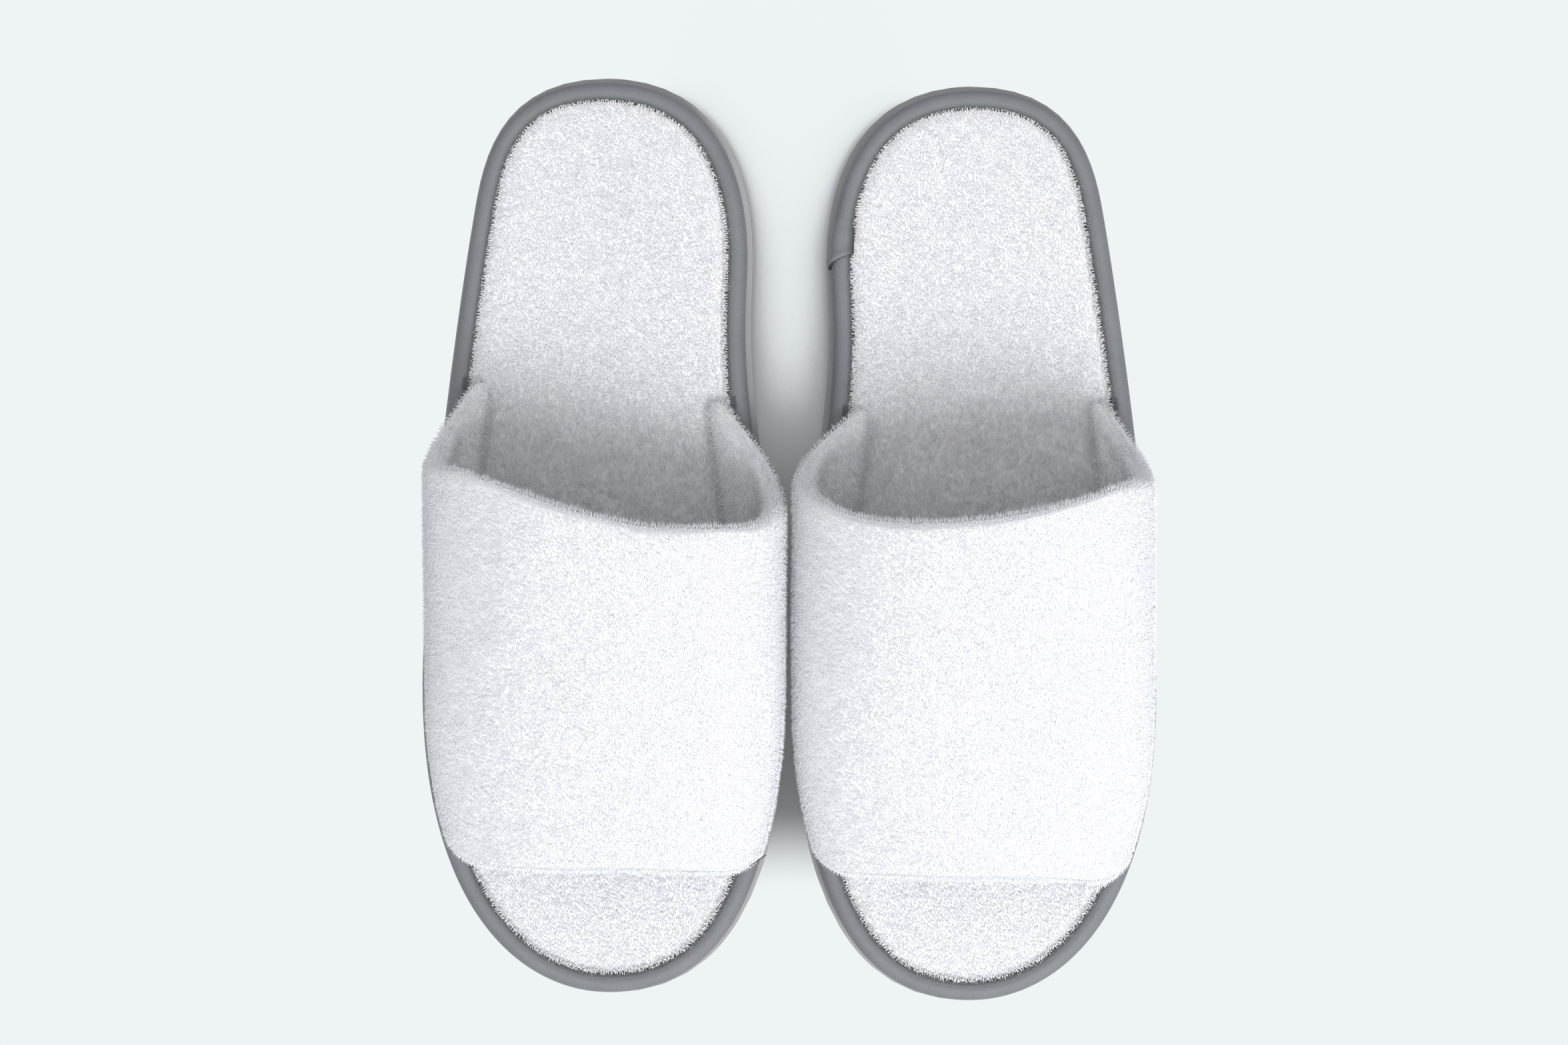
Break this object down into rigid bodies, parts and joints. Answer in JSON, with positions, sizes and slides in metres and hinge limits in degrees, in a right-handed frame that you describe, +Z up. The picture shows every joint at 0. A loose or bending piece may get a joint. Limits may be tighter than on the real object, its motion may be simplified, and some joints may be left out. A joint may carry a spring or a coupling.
{
  "type": "pair of open-toe spa slippers",
  "caption": "Pair of open-toe terry spa slippers: bound terry footbed on a foam outsole with a padded terry vamp arched over the instep.",
  "frame": {"origin": "on the floor, in the middle of the pair's box", "axes": "+Z up, +Y from the toes to the heels, +X from the right-foot slipper to the left-foot one"},
  "size_m": [0.2304, 0.2894, 0.0629],
  "materials": {
    "eva_foam": "matte closed-cell foam",
    "adhesive": "dull film",
    "fibre_board": "pressed fibre",
    "cushion_foam": "open-cell foam",
    "terry": "cut-pile terry",
    "binding_tape": "fine crosswise rib",
    "thread": "spun thread"
  },
  "bodies": {
    "right_slipper": {"right_outsole": "eva_foam", "right_sole_adhesive": "adhesive", "right_insole_board": "fibre_board", "right_insole_cushion": "cushion_foam", "right_insole_cover": "terry", "right_edge_binding": "binding_tape", "right_binding_lap": "binding_tape", "right_binding_seam": "thread", "right_vamp_terry": "terry", "right_vamp_padding": "cushion_foam", "right_vamp_lining": "terry", "right_vamp_tacks": "thread"},
    "left_slipper": {"left_outsole": "eva_foam", "left_sole_adhesive": "adhesive", "left_insole_board": "fibre_board", "left_insole_cushion": "cushion_foam", "left_insole_cover": "terry", "left_edge_binding": "binding_tape", "left_binding_lap": "binding_tape", "left_binding_seam": "thread", "left_vamp_terry": "terry", "left_vamp_padding": "cushion_foam", "left_vamp_lining": "terry", "left_vamp_tacks": "thread"}
  },
  "joints": [
    {"name": "left_slipper_slide", "type": "slide", "parent": "right_slipper", "child": "left_slipper", "axis": [1, 0, 0], "range_m": [0, 0.1]}
  ]
}
